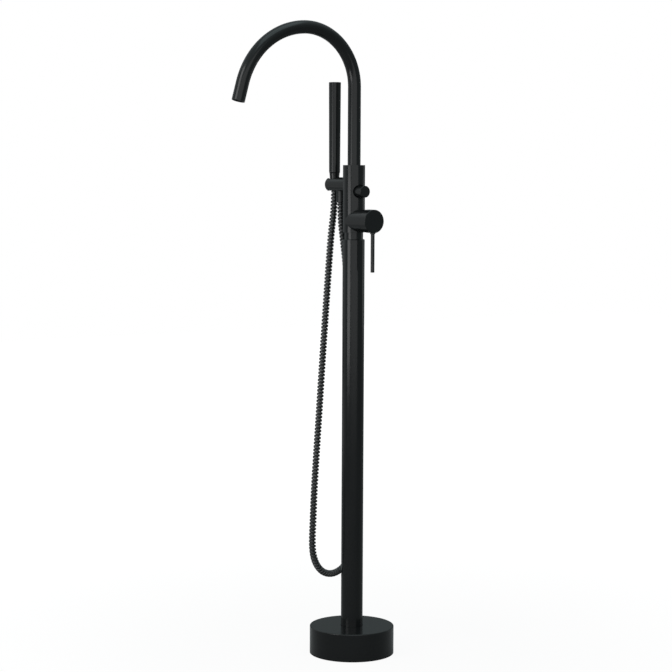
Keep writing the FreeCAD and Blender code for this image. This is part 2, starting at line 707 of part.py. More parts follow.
def make_valve_body():
    """Upright body with the mixer's branch, the sockets and the waterways."""
    upright = cylinder("column_radius", "body_height", ("0", "0", "body_base"))
    branch = cylinder("branch_radius", "branch_reach", ("0", "0", "mixer_z"), "+Y")
    way = "waterway_radius"
    tools = [
        cylinder("spigot_radius + thread_gap", "spigot_height + end_gap",
                 ("0", "0", "body_base")),
        cylinder("spout_bore", "spout_socket_depth", ("0", "0", "socket_floor")),
        cylinder("spout_bore + bush_wall", "bush_height + end_gap",
                 ("0", "0", "body_top - bush_height - end_gap")),
        cylinder("small_screw_radius + screw_gap", "column_radius",
                 ("0", "0", "limit_z"), "-X"),
        cylinder("recess_radius", "column_radius", ("0", "recess_floor", "diverter_z"), "+Y"),
        cylinder("bonnet_radius + thread_gap", "recess_floor - bonnet_start",
                 ("0", "bonnet_start", "diverter_z"), "+Y"),
        cylinder("chamber_radius", "recess_floor - chamber_start",
                 ("0", "chamber_start", "diverter_z"), "+Y"),
        cylinder("stud_radius", "column_radius",
                 ("0", "-(column_radius - stud_body_depth)", "holder_z"), "-Y"),
        cylinder("stud_bore", "column_radius",
                 ("0", "chamber_start", "diverter_z + chamber_radius"), "-Y"),
        cylinder("pocket_radius", "branch_reach", ("0", "pocket_floor", "mixer_z"), "+Y"),
        cylinder("counterbore_radius", "branch_reach",
                 ("0", "cartridge_flange_face", "mixer_z"), "+Y"),
        cylinder(way, "pocket_floor", ("0", "0", "mixed_z"), "+Y"),
        cylinder(way, "socket_floor - mixed_z", ("0", "0", "mixed_z")),
    ]
    for side in ("supply_offset", "-supply_offset"):
        tools.append(cylinder(way, "mixer_height", (side, "0", "body_base")))
        tools.append(cylinder(way, "pocket_floor", (side, "0", "mixer_z"), "+Y"))
    return node(cut(fused([upright, branch]), tools), "valve_body")


# ---------------------------------------------------------- mixer and lever

def make_cartridge():
    """Mixing cartridge with its rubber disc and ring nut."""
    disc = ring("seal_disc_hole", "cartridge_radius - pocket_gap", "seal_disc_thickness",
                ("0", "pocket_floor", "mixer_z"), "+Y")
    ports = [
        cylinder("waterway_radius", "seal_disc_thickness",
                 (side, "pocket_floor", height), "+Y")
        for side, height in (
            ("supply_offset", "mixer_z"),
            ("-supply_offset", "mixer_z"),
            ("0", "mixed_z"),
        )
    ]
    node(cut(disc, ports), "cartridge_seal")

    back = "pocket_floor + seal_disc_thickness"
    bore = "stem_radius + running_gap"
    flange_front = "cartridge_flange_face + cartridge_flange_thickness"
    outline = [
        ("0", back),
        ("cartridge_radius", back),
        ("cartridge_radius", "cartridge_flange_face"),
        ("cartridge_flange_radius", "cartridge_flange_face"),
        ("cartridge_flange_radius", flange_front),
        ("rotor_guide_radius", flange_front),
        ("rotor_guide_radius", "rotor_guide_end"),
        (bore, "rotor_guide_end"),
        (bore, "stem_start - end_gap"),
        ("0", "stem_start - end_gap"),
    ]
    node(turned(outline, ("0", "0", "mixer_z"), "+Y"), "mixer_cartridge")

    nut_back = f"{flange_front} + thread_gap"
    nut = ring("rotor_guide_radius + thread_gap * 4", "nut_thread_radius", "nut_length",
               ("0", nut_back, "mixer_z"), "+Y")
    slots = [
        box("2 * nut_thread_radius + 2 * overrun", "nut_slot_depth", "nut_slot_width",
            ("-nut_thread_radius - overrun",
             f"{nut_back} + nut_length - nut_slot_depth",
             "mixer_z - nut_slot_width / 2")),
        box("nut_slot_width", "nut_slot_depth", "2 * nut_thread_radius + 2 * overrun",
            ("-nut_slot_width / 2",
             f"{nut_back} + nut_length - nut_slot_depth",
             "mixer_z - nut_thread_radius - overrun")),
    ]
    node(cut(nut, slots), "cartridge_nut")


def make_mixer_stem():
    """Stem that the handle turns: a round shaft with a square end."""
    shaft = cylinder("stem_radius", "stem_square_start - stem_start",
                     ("0", "stem_start", "mixer_z"), "+Y")
    half = "stem_square / 2"
    square_length = "cap_inner_face + socket_depth - end_gap - stem_square_start"
    square = box("stem_square", square_length, "stem_square",
                 (f"-{half}", "stem_square_start", f"mixer_z - {half}"))
    return node(fused([shaft, square]), "mixer_stem")


def make_handle_cap():
    """Round cap over the cartridge, with a square socket and two screw holes."""
    outline = [
        ("0", "cap_inner_face"),
        ("cap_radius - cap_skirt_wall", "cap_inner_face"),
        ("cap_radius - cap_skirt_wall", "cap_back"),
        ("cap_radius", "cap_back"),
        ("cap_radius", "cap_face"),
        ("0", "cap_face"),
    ]
    body = turned(outline)
    round_edges(body, "cap_edge", circle_at("cap_radius", "cap_face"),
                "PartDesign::Chamfer", "Size")
    place(body, ("0", "0", "mixer_z"), "+Y")
    side = "stem_square + 2 * square_gap"
    tools = [
        box(side, "socket_depth", side,
            (f"-({side}) / 2", "cap_inner_face", f"mixer_z - ({side}) / 2")),
        cylinder("pin_thread_radius + screw_gap", "pin_thread_length + end_gap",
                 ("0", "pin_y", "mixer_z - cap_radius + pin_thread_length + end_gap"),
                 "-Z"),
        cylinder("small_screw_radius + screw_gap", "cap_radius",
                 ("-stem_square / 2", "pin_y", "mixer_z"), "-X"),
    ]
    return node(cut(body, tools), "handle_cap")


def make_handle_pin():
    """Turned pin lever: thread, collar and a long round rod."""
    reach = "pin_reach - cap_radius"
    outline = [
        ("0", "-pin_thread_length"),
        ("pin_thread_radius", "-pin_thread_length"),
        ("pin_thread_radius", "0"),
        ("pin_collar_radius", "0"),
        ("pin_collar_radius", "pin_collar_height"),
        ("pin_radius", "pin_collar_height"),
        ("pin_radius", reach),
        ("0", reach),
    ]
    body = turned(outline)
    round_edges(body, "pin_tip_round", circle_at("pin_radius", reach))
    place(body, ("0", "pin_y", "mixer_z - cap_radius"), "-Z")
    return node(body, "handle_pin")


def make_handle_screw():
    """Grub screw that clamps the cap on the square."""
    inner = "stem_square / 2 + screw_gap"
    length = f"cap_radius - screw_recess * 4 - ({inner})"
    screw = grub_screw("small_screw_radius", length,
                       (f"-({inner})", "pin_y", "mixer_z"), "-X")
    return node(screw, "handle_grub_screw")


# ------------------------------------------------------------- the diverter

def make_diverter():
    """Bonnet in the body; rod, seal, knob and screw that are pulled together."""
    axis = ("0", "0", "diverter_z")
    bore = "rod_radius + running_gap"
    bonnet = [
        ("bonnet_cavity_radius", "bonnet_start + end_gap"),
        ("bonnet_radius", "bonnet_start + end_gap"),
        ("bonnet_radius", "recess_floor"),
        (bore, "recess_floor"),
        (bore, "bonnet_cavity_end"),
        ("bonnet_cavity_radius", "bonnet_cavity_end"),
    ]
    node(turned(bonnet, axis, "+Y"), "diverter_bonnet")

    seal_front = "diverter_seal_start + diverter_seal_thickness"
    rod_end = "knob_face - knob_solid"
    rod = [
        ("0", "diverter_seal_start"),
        ("rod_nose_radius", "diverter_seal_start"),
        ("rod_nose_radius", seal_front),
        ("rod_collar_radius", seal_front),
        ("rod_collar_radius", f"{seal_front} + rod_collar_length"),
        ("rod_radius", f"{seal_front} + rod_collar_length"),
        ("rod_radius", rod_end),
        ("0", rod_end),
    ]
    node(turned(rod, axis, "+Y"), "diverter_rod")
    node(ring("rod_nose_radius + thread_gap", "diverter_seal_radius",
              "diverter_seal_thickness - seal_gap",
              ("0", "diverter_seal_start", "diverter_z"), "+Y"),
         "diverter_seal")

    knob = [
        ("rod_radius + thread_gap", "knob_start"),
        ("knob_radius", "knob_start"),
        ("knob_radius", "knob_face"),
        ("0", "knob_face"),
        ("0", f"{rod_end} + end_gap"),
        ("rod_radius + thread_gap", f"{rod_end} + end_gap"),
    ]
    body = turned(knob)
    round_edges(body, "knob_edge", circle_at("knob_radius", "knob_face"),
                "PartDesign::Chamfer", "Size")
    place(body, axis, "+Y")
    screw_y = "knob_face - knob_screw_set_back"
    hole = cylinder("knob_screw_radius + screw_gap", "knob_radius",
                    ("0", screw_y, "diverter_z"), "-Z")
    node(cut(body, [hole]), "diverter_knob")
    inner = "rod_radius + thread_gap + screw_gap"
    length = f"knob_radius - screw_recess * 2 - ({inner})"
    screw = grub_screw("knob_screw_radius", length,
                       ("0", screw_y, f"diverter_z - ({inner})"), "-Z")
    node(screw, "knob_grub_screw")


# ---------------------------------------------------------------- the spout

def make_spout_seat():
    """Bush, thrust washer and stop screw that hold the spout in the body."""
    node(ring("spout_radius + thread_gap * 2", "spout_bore + bush_wall - thread_gap",
              "bush_height", ("0", "0", "body_top - bush_height")),
         "spout_bush")
    node(ring("sleeve_bore", "spout_bore - thread_gap * 2", "washer_thickness",
              ("0", "0", "socket_floor")),
         "spout_thrust_washer")
    tip_start = "limit_radius + end_gap"
    length = f"column_radius - screw_recess - ({tip_start})"
    outline = [
        ("0", "0"),
        ("stop_tip_radius", "0"),
        ("stop_tip_radius", "stop_tip_length"),
        ("small_screw_radius", "stop_tip_length"),
        ("small_screw_radius", length),
        ("0", length),
    ]
    screw = cut(turned(outline), [hexagon_socket("small_screw_radius", length)])
    place(screw, (f"-({tip_start})", "0", "limit_z"), "-X")
    node(screw, "spout_stop_screw")


def make_spout_sleeve():
    """Turned foot of the spout with a sealing groove and a swivel groove."""
    groove_low = "ring_groove_rise"
    groove_high = "ring_groove_rise + ring_groove_height"
    groove = "spout_radius - ring_groove_depth"
    spigot = "spout_inner - thread_gap"
    outline = [
        ("sleeve_bore", "0"),
        ("spout_radius", "0"),
        ("spout_radius", groove_low),
        (groove, groove_low),
        (groove, groove_high),
        ("spout_radius", groove_high),
        ("spout_radius", "sleeve_length"),
        (spigot, "sleeve_length"),
        (spigot, "sleeve_length + sleeve_spigot"),
        ("sleeve_bore", "sleeve_length + sleeve_spigot"),
    ]
    blank = turned(outline, ("0", "0", "sleeve_base"))
    sweep = "2 * limit_half_angle * 1 deg"
    low = "limit_z - limit_height / 2"
    outer = cylinder("spout_radius + overrun", "limit_height", ("0", "0", low))
    inner = cylinder("limit_radius", "limit_height", ("0", "0", low))
    for sector in (outer, inner):
        sector.setExpression("Angle", tied(sweep))
        start = number("180 - limit_half_angle")
        sector.Placement = FreeCAD.Placement(Vector(), Rotation(Vector(0, 0, 1), start))
        sector.setExpression("Placement.Rotation.Angle",
                             tied("(180 - limit_half_angle) * 1 deg"))
        sector.setExpression("Placement.Base.z", tied(low))
    track = cut(outer, [inner])
    node(cut(blank, [track]), "spout_sleeve")
    node(ring(f"{groove} + seal_gap", "spout_bore - seal_gap",
              "ring_groove_height - 2 * seal_gap",
              ("0", "0", "sleeve_base + ring_groove_rise + seal_gap")),
         "spout_sealing_ring")


def make_spout_tube():
    """Gooseneck: a straight leg, two tangent bends and a straight outlet."""
    body = doc.addObject("PartDesign::Body", "Gooseneck")
    path = new_sketch(body, "XZ_Plane")
    radius = [number("first_bend_radius"), number("second_bend_radius")]
    first = math.radians(number("first_bend_angle"))
    last = math.radians(number("bend_end_angle"))
    top = Vector(0, number("spout_leg_top"), 0)
    bend_end = Vector(number("first_x"), number("first_z"), 0)
    outlet_start = Vector(number("second_x"), number("second_z"), 0)
    run = number("outlet_run")
    tip = outlet_start + Vector(math.sin(last), math.cos(last), 0) * run
    centre = top + Vector(radius[0], 0, 0)
    centre_two = bend_end + Vector(math.cos(first), -math.sin(first), 0) * radius[1]
    up = Vector(0, 0, 1)
    leg = path.addGeometry(Part.LineSegment(Vector(0, number("leg_base"), 0), top), False)
    arc = path.addGeometry(Part.ArcOfCircle(
        Part.Circle(centre, up, radius[0]), math.pi - first, math.pi), False)
    wide = path.addGeometry(Part.ArcOfCircle(
        Part.Circle(centre_two, up, radius[1]), math.pi - last, math.pi - first), False)
    straight = path.addGeometry(Part.LineSegment(outlet_start, tip), False)
    path.addConstraint(Sketcher.Constraint("PointOnObject", leg, 1, -2))
    path.addConstraint(Sketcher.Constraint("Vertical", leg))
    path.addConstraint(Sketcher.Constraint("Tangent", leg, 2, arc, 2))
    path.addConstraint(Sketcher.Constraint("Tangent", arc, 1, wide, 2))
    path.addConstraint(Sketcher.Constraint("Tangent", wide, 1, straight, 1))
    for kind, target, value, expression in (
        ("DistanceY", (-1, 1, leg, 1), number("leg_base"), "leg_base"),
        ("DistanceY", (-1, 1, leg, 2), top.y, "spout_leg_top"),
        ("Radius", (arc,), radius[0], "first_bend_radius"),
        ("Radius", (wide,), radius[1], "second_bend_radius"),
        ("Angle", (arc,), first, "first_bend_angle * 1 deg"),
        ("Angle", (wide,), last - first, "second_bend_angle * 1 deg"),
        ("Distance", (straight,), run, "outlet_run"),
    ):
        index = path.addConstraint(Sketcher.Constraint(kind, *target, value))
        path.setExpression(f"Constraints[{index}]", tied(expression))
    section = new_sketch(body, "XY_Plane", "leg_base")
    draw_circle(section, "spout_radius")
    draw_circle(section, "spout_inner")
    pipe = body.newObject("PartDesign::AdditivePipe", "Pipe")
    pipe.Profile = section
    pipe.Spine = (path, ["Edge1", "Edge2", "Edge3", "Edge4"])
    doc.recompute()
    return node(body, "spout_tube")


def at_outlet(piece):
    """Put a piece on the outlet's axis, facing along it."""
    angle = number("bend_end_angle")
    piece.Placement = FreeCAD.Placement(Vector(), Rotation(Vector(0, 1, 0), angle))
    piece.setExpression("Placement.Rotation.Angle", tied("bend_end_angle * 1 deg"))
    piece.setExpression("Placement.Base.x", tied("aerator_x"))
    piece.setExpression("Placement.Base.z", tied("aerator_z"))
    return piece


def make_aerator():
    """Threaded ring and perforated disc in the spout's mouth."""
    outer = "spout_inner - thread_gap"
    inner = "spout_inner - aerator_wall"
    shell = [
        (f"{inner} - aerator_lip", "0"),
        (outer, "0"),
        (outer, "aerator_length"),
        (inner, "aerator_length"),
        (inner, "aerator_lip"),
        (f"{inner} - aerator_lip", "aerator_lip"),
    ]
    node(at_outlet(turned(shell)), "aerator_ring")

    lift = "aerator_lip + seal_gap"
    disc = ring("aerator_hole_radius", f"{inner} - thread_gap", "aerator_disc",
                ("0", "0", lift))
    body = disc
    for circle, count in (
        ("aerator_inner_circle", "aerator_inner_count"),
        ("aerator_outer_circle", "aerator_outer_count"),
    ):
        sketch = new_sketch(body, "XY_Plane")
        draw_circle(sketch, "aerator_hole_radius", (circle, "0"))
        hole = pocket(body, sketch, "aerator_disc", True)
        repeat_round(body, hole, count)
    at_outlet(body)
    body.setExpression("Placement.Base.x",
                       tied(f"aerator_x + ({lift}) * sin(bend_end_angle * 1 deg)"))
    body.setExpression("Placement.Base.z",
                       tied(f"aerator_z + ({lift}) * cos(bend_end_angle * 1 deg)"))
    node(body, "aerator_disc")


# --------------------------------------------------------------- the holder

def make_holder():
    """Arm that carries the handset and the hose outlet."""
    bar = turned([
        ("0", "0"),
        ("holder_radius", "0"),
        ("holder_radius", "holder_reach"),
        ("0", "holder_reach"),
    ])
    round_edges(bar, "holder_edge_round", circle_at("holder_radius", "holder_reach"))
    place(bar, ("0", "0", "holder_z"), "-Y")
    boss = cylinder("outlet_boss_radius", "holder_radius",
                    ("0", "-hose_outlet_offset", "outlet_face"))
    tall = "2 * holder_radius + 2 * overrun"
    below = "holder_bottom - overrun"
    tools = [
        cylinder("column_radius + saddle_gap", "body_height", ("0", "0", "body_base")),
        cylinder("liner_radius", tall, ("0", "-handset_offset", below)),
        box("slot_width", "holder_reach - handset_offset + overrun", tall,
            ("-slot_width / 2", "-holder_reach - overrun", below)),
        cylinder("stud_radius", "column_radius + stud_arm_depth", ("0", "0", "holder_z"), "-Y"),
        cylinder("stud_bore", "hose_outlet_offset", ("0", "0", "holder_z"), "-Y"),
        cylinder("nipple_bore", "holder_radius + stud_bore / 2 + overrun",
                 ("0", "-hose_outlet_offset", below)),
        cylinder("nipple_radius", "nipple_depth + overrun",
                 ("0", "-hose_outlet_offset", below)),
    ]
    node(cut(fused([bar, boss]), tools), "holder_arm")


def make_holder_liner():
    """Slotted plastic liner with a conical bore, trimmed to the arm's curve."""
    wall = cylinder("liner_radius - thread_gap", "holder_radius * 2",
                    ("0", "-handset_offset", "holder_bottom"))
    arm_inside = cylinder("holder_radius - liner_rim_gap", "holder_reach",
                          ("0", "0", "holder_z"), "-Y")
    rise = "holder_bottom - cone_base"
    low = f"cone_nut_base_radius + cone_gap + cone_taper * ({rise})"
    high = f"cone_nut_base_radius + cone_gap + cone_taper * ({rise} + 2 * holder_radius)"
    bore = cone(low, high, "holder_radius * 2", ("0", "-handset_offset", "holder_bottom"))
    slot = box("slot_width", "liner_radius", "2 * holder_radius + 2 * overrun",
               ("-slot_width / 2", "-handset_offset - liner_radius",
                "holder_bottom - overrun"))
    node(cut(common([wall, arm_inside]), [bore, slot]), "holder_liner")


def make_hose_outlet():
    """Stud, nipple, check valve, washer and nut between the body and the hose."""
    start = "column_radius - stud_body_depth + stud_inlet_space"
    node(ring("stud_bore", "stud_radius - thread_gap",
              f"column_radius + stud_arm_depth - end_gap - ({start})",
              ("0", f"-({start})", "holder_z"), "-Y"),
         "holder_stud")
    axis = ("0", "-hose_outlet_offset", "nipple_base")
    node(ring("nipple_bore", "nipple_radius - thread_gap",
              "nipple_reach + nipple_depth - end_gap", axis),
         "hose_nipple")
    node(ring("nipple_bore / 3", "nipple_bore - thread_gap", "valve_length",
              ("0", "-hose_outlet_offset", "nipple_base + end_gap")),
         "check_valve")
    washer_base = "nipple_base - hose_washer_thickness"
    node(ring("hose_washer_bore", "nipple_radius - thread_gap",
              "hose_washer_thickness - seal_gap",
              ("0", "-hose_outlet_offset", washer_base)),
         "outlet_washer")
    nut = [
        ("hose_washer_bore", "0"),
        ("hose_nut_radius - nut_edge", "0"),
        ("hose_nut_radius", "nut_edge"),
        ("hose_nut_radius", "outlet_nut_length"),
        ("nipple_radius + thread_gap", "outlet_nut_length"),
        ("nipple_radius + thread_gap", f"{washer_base} - seal_gap - outlet_nut_base"),
        ("hose_washer_bore", f"{washer_base} - seal_gap - outlet_nut_base"),
    ]
    node(turned(nut, ("0", "-hose_outlet_offset", "outlet_nut_base")), "outlet_hose_nut")


# -------------------------------------------------------------- the handset

def make_handset_nut():
    """Conical nut that rests in the holder, and its washer."""
    seat = "cone_nut_length - handset_thread_length - hose_washer_thickness - seal_gap"
    nut = [
        ("hose_washer_bore", "0"),
        ("cone_nut_base_radius", "0"),
        ("cone_nut_top_radius", "cone_nut_length"),
        ("handset_thread_radius + thread_gap", "cone_nut_length"),
        ("handset_thread_radius + thread_gap", seat),
        ("hose_washer_bore", seat),
    ]
    node(turned(nut, ("0", "-handset_offset", "cone_base")), "handset_cone_nut")
    node(ring("hose_washer_bore", "handset_thread_radius",
              "hose_washer_thickness - seal_gap",
              ("0", "-handset_offset", f"cone_base + {seat} + seal_gap")),
         "handset_washer")


def make_handset():
    """Slim tapered stick with a spray window on its outer side."""
    way = "waterway_radius"
    tube_end = "handset_length - end_cap_height"
    seam_radius = "(handset_base_radius + (handset_top_radius - handset_base_radius)" \
        " * (handset_length - end_cap_height - shoulder_height)" \
        " / (handset_length - shoulder_height))"
    bore_floor = "shoulder_height + handset_floor"
    outline = [
        (way, "-handset_thread_length"),
        ("handset_thread_radius", "-handset_thread_length"),
        ("handset_thread_radius", "0"),
        ("cone_nut_top_radius", "0"),
        ("handset_base_radius", "shoulder_height"),
        (seam_radius, tube_end),
        ("handset_bore", tube_end),
        ("handset_bore", bore_floor),
        (way, bore_floor),
    ]
    body = turned(outline)
    round_edges(body, "shoulder_round",
                circle_at("handset_base_radius", "shoulder_height"))
    place(body, ("0", "-handset_offset", "cone_top"), "+Z")
    window = spray_prism("spray_width", "spray_length", "handset_top_radius + overrun")
    node(cut(body, [window]), "handset_body")

    cap = [
        ("0", "-end_cap_spigot"),
        ("handset_bore - thread_gap", "-end_cap_spigot"),
        ("handset_bore - thread_gap", "0"),
        (seam_radius, "0"),
        ("handset_top_radius", "end_cap_height"),
        ("0", "end_cap_height"),
    ]
    lid = turned(cap)
    round_edges(lid, "end_cap_edge", circle_at("handset_top_radius", "end_cap_height"),
                "PartDesign::Chamfer", "Size")
    place(lid, ("0", "-handset_offset", "end_cap_base"), "+Z")
    node(lid, "handset_end_cap")


def spray_prism(width, length, depth):
    """Upright slot with round ends, from the handset's axis towards -Y."""
    half = f"({width}) / 2"
    axis_y = "-handset_offset"
    low = f"spray_low + ({half})"
    high = f"spray_low + ({length}) - ({half})"
    start = f"{axis_y} - window_root"
    reach = f"{depth} - window_root"
    return fused([
        cylinder(half, reach, ("0", start, low), "-Y"),
        cylinder(half, reach, ("0", start, high), "-Y"),
        box(width, reach, f"({length}) - ({width})",
            (f"-({half})", f"{axis_y} - ({depth})", low)),
    ])


def make_spray_face():
    """Rubber nozzle strip in the window and the carrier behind it."""
    face = "handset_base_radius"
    back = f"{face} - spray_plate_set_back"
    slot = spray_prism("spray_width - 4 * thread_gap", "spray_length - 4 * thread_gap", face)
    lower = ("0", "-handset_offset", "spray_low - overrun")
    skin = cut(cylinder(face, "spray_length + 2 * overrun", lower),
               [cylinder(back, "spray_length + 2 * overrun", lower)])
    strip = common([slot, skin])
    nozzles = []
    rows = int(number("nozzle_rows"))
    count = int(number("nozzle_count"))
    for row in range(rows):
        across = f"({row} - (nozzle_rows - 1) / 2) * nozzle_row_pitch"
        for index in range(count):
            height = f"spray_low + spray_length * ({index} + 0.5) / nozzle_count"
            nozzles.append(cylinder(
                "nozzle_radius", "nozzle_height + spray_plate_set_back / 2",
                (across, f"-handset_offset - {face} + spray_plate_set_back / 2", height),
                "-Y"))
    node(fused([strip] + nozzles), "nozzle_strip")

    inner = "handset_bore - thread_gap * 2"
    tube = cut(cylinder(inner, "spray_length", ("0", "-handset_offset", "spray_low")),
               [cylinder(f"{inner} - carrier_thickness", "spray_length",
                         ("0", "-handset_offset", "spray_low"))])
    node(tube, "spray_carrier")


# ------------------------------------------------------------ the free hose

# Route of the shower hose from the outlet nut, down, round and up to the
# handset's nut. The first and last points lie on the two nuts' ends.
HOSE_ROUTE = [
    (0.0, -42.0, 827.3), (0.0, -42.0, 797.0), (-6.1, -41.9, 756.0),
    (-14.6, -42.1, 690.0), (-23.8, -44.3, 600.0), (-33.0, -49.1, 490.0),
    (-41.2, -55.6, 385.0), (-49.5, -62.8, 297.0), (-56.0, -68.7, 235.5),
    (-58.3, -69.3, 198.5), (-49.2, -66.8, 173.5), (-23.7, -59.5, 146.5),
    (3.3, -51.8, 137.8), (28.3, -44.7, 141.5), (48.2, -39.1, 154.9),
    (61.3, -35.3, 175.8), (65.8, -34.1, 203.5), (62.8, -34.9, 252.6),
    (60.2, -35.6, 307.0), (53.1, -38.6, 378.0), (45.3, -42.3, 450.0),
    (36.6, -46.9, 530.0), (27.2, -51.4, 615.0), (18.0, -55.4, 700.0),
    (10.2, -58.4, 772.0), (0.0, -63.2, 818.0), (0.0, -63.2, 850.5),
]


def rounded_path(points):
    """Straight runs joined by tangent arcs, as one wire, and the arcs' radii."""
    corners = [Vector(*point) for point in points]
    edges = []
    radii = []
    start = corners[0]
    for before, corner, after in zip(corners, corners[1:], corners[2:]):
        incoming = (corner - before).normalize()
        outgoing = (after - corner).normalize()
        turn = incoming.getAngle(outgoing)
        shorter = min((corner - before).Length, (after - corner).Length)
        radius = 0.45 * shorter / math.tan(turn / 2)
        setback = radius * math.tan(turn / 2)
        arc_start = corner - incoming * setback
        arc_end = corner + outgoing * setback
        inward = (outgoing - incoming).normalize()
        middle = corner + inward * (radius / math.cos(turn / 2) - radius)
        edges.append(Part.LineSegment(start, arc_start).toShape())
        edges.append(Part.Arc(arc_start, middle, arc_end).toShape())
        radii.append(radius)
        start = arc_end
    edges.append(Part.LineSegment(start, corners[-1]).toShape())
    return Part.Wire(edges), radii


def make_shower_hose():
    """The hanging hose as a plain tube."""
    points = [list(point) for point in HOSE_ROUTE]
    points[0] = [0, -number("hose_outlet_offset"), number("outlet_nut_base")]
    points[-1] = [0, -number("handset_offset"), number("cone_base")]
    path, radii = rounded_path(points)
    radius = number("hose_radius")
    direction = Vector(*points[1]) - Vector(*points[0])
    section = Part.Wire(Part.Circle(Vector(*points[0]), direction, radius).toShape())
    tube = path.makePipeShell([section], True, False)
    if tube.Volume < 0:
        tube.reverse()
    piece = doc.addObject("Part::Feature", "Hose")
    piece.Shape = tube
    piece.Placement = FreeCAD.Placement()
    expected = math.pi * radius ** 2 * path.Length
    print("hose length", round(path.Length, 1), "volume", round(tube.Volume),
          "of", round(expected))
    print("hose radii", [round(value) for value in radii])
    return node(piece, "shower_hose")


make_floor_gasket()
make_floor_flange()
make_collar_screws()
make_base_cover()
make_cover_seal()
make_column_tube()
make_column_head()
make_supply("hot", "supply_offset")
make_supply("cold", "-supply_offset")
make_valve_body()
make_cartridge()
make_mixer_stem()
make_handle_cap()
make_handle_pin()
make_handle_screw()
make_diverter()
make_spout_seat()
make_spout_sleeve()
make_spout_tube()
make_aerator()
make_holder()
make_holder_liner()
make_hose_outlet()
make_handset_nut()
make_handset()
make_spray_face()
make_shower_hose()
doc.recompute()

for item in doc.Objects:
    if "Invalid" in item.State or "Error" in item.State:
        raise RuntimeError(f"{item.Label} ({item.Name}) did not build: {item.State}")
for piece in NODES:
    if piece.Shape.isNull() or not piece.Shape.isValid():
        raise RuntimeError(f"{piece.Label} has no valid shape")

os.makedirs("parts", exist_ok=True)
for piece in NODES:
    piece.Shape.exportStep(f"parts/{piece.Label}.step")
print(len(NODES), "parts")
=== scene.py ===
import json
import math

import bpy
import numpy as np
from mathutils import Matrix, Vector


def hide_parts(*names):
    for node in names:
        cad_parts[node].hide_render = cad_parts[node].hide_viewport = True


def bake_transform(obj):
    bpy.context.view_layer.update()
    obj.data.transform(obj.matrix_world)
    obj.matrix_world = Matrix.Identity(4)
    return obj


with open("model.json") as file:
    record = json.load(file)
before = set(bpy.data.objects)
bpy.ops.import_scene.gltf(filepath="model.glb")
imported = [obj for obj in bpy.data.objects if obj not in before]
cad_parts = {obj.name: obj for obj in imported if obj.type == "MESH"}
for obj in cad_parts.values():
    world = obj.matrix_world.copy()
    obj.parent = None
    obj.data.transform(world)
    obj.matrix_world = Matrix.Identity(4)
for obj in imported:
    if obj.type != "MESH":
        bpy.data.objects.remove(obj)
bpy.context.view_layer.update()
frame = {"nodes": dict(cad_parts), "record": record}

scene = bpy.context.scene
nodes = frame["nodes"]


# ------------------------------------------------------------------ camera
# The photograph looks from between the spout's side and the mixer's side,
# a little above the middle of the column.
VIEW_ANGLE = math.radians(34.4)
TOWARDS_CAMERA = Vector((math.sin(VIEW_ANGLE), math.cos(VIEW_ANGLE), 0))
IMAGE_RIGHT = Vector((-TOWARDS_CAMERA.y, TOWARDS_CAMERA.x, 0))
UP = Vector((0, 0, 1))
CAMERA_DISTANCE = 3.4745
CAMERA_HEIGHT = 0.8955
CLIP_END = 50
SENSOR_WIDTH = 36
IMAGE_PIXELS = 672
FOCAL_PIXELS = 1916
# The column's axis meets the camera's level at this column of the picture,
# the horizon runs this far above the picture's middle, and the picture is
# turned by this slope.
AXIS_PIXEL = 353.26
HORIZON_PIXELS = 171
ROLL_SLOPE = 2 / 460


def make_camera():
    """Camera from which the object stands as it does in the photograph."""
    data = bpy.data.cameras.new("camera")
    data.sensor_width = SENSOR_WIDTH
    data.lens = FOCAL_PIXELS / IMAGE_PIXELS * data.sensor_width
    data.clip_end = CLIP_END
    camera = bpy.data.objects.new("camera", data)
    scene.collection.objects.link(camera)
    yaw = math.atan((AXIS_PIXEL - IMAGE_PIXELS / 2) / FOCAL_PIXELS)
    pitch = math.atan(HORIZON_PIXELS / FOCAL_PIXELS)
    roll = math.atan(ROLL_SLOPE)
    right = IMAGE_RIGHT * math.cos(yaw) - TOWARDS_CAMERA * math.sin(yaw)
    level_back = right.cross(UP)
    back = level_back * math.cos(pitch) + UP * math.sin(pitch)
    above = back.cross(right)
    rolled_right = right * math.cos(roll) + above * math.sin(roll)
    rolled_up = above * math.cos(roll) - right * math.sin(roll)
    place = TOWARDS_CAMERA * CAMERA_DISTANCE + UP * CAMERA_HEIGHT
    columns = Matrix((rolled_right, rolled_up, back)).transposed()
    camera.matrix_world = Matrix.Translation(place) @ columns.to_4x4()
    scene.camera = camera


make_camera()


# --------------------------------------------------------------- materials

def link(tree, start, end):
    tree.links.new(start, end)


def add(tree, kind, **values):
    """New node with its properties, or else its inputs, set by name."""
    node = tree.nodes.new(kind)
    for name, value in values.items():
        if hasattr(node, name):
            setattr(node, name, value)
        else:
            node.inputs[name.replace("_", " ")].default_value = value
    return node


def combine(tree, operation, first, second):
    """Result of a math operation on two values."""
    node = add(tree, "ShaderNodeMath", operation=operation)
    link(tree, first, node.inputs[0])
    link(tree, second, node.inputs[1])
    return node.outputs[0]


def surface(name, colour, roughness, metallic=0.0, specular=0.5):
    """New material with its plain values on the shader's own sockets."""
    material = bpy.data.materials.new(name)
    material.use_nodes = True
    material.diffuse_color = (*colour, 1)
    shader = material.node_tree.nodes["Principled BSDF"]
    shader.inputs["Base Color"].default_value = (*colour, 1)
    shader.inputs["Roughness"].default_value = roughness
    shader.inputs["Metallic"].default_value = metallic
    shader.inputs["Specular IOR Level"].default_value = specular
    return material, material.node_tree, shader


def coordinates(tree):
    return add(tree, "ShaderNodeTexCoord").outputs["Object"]


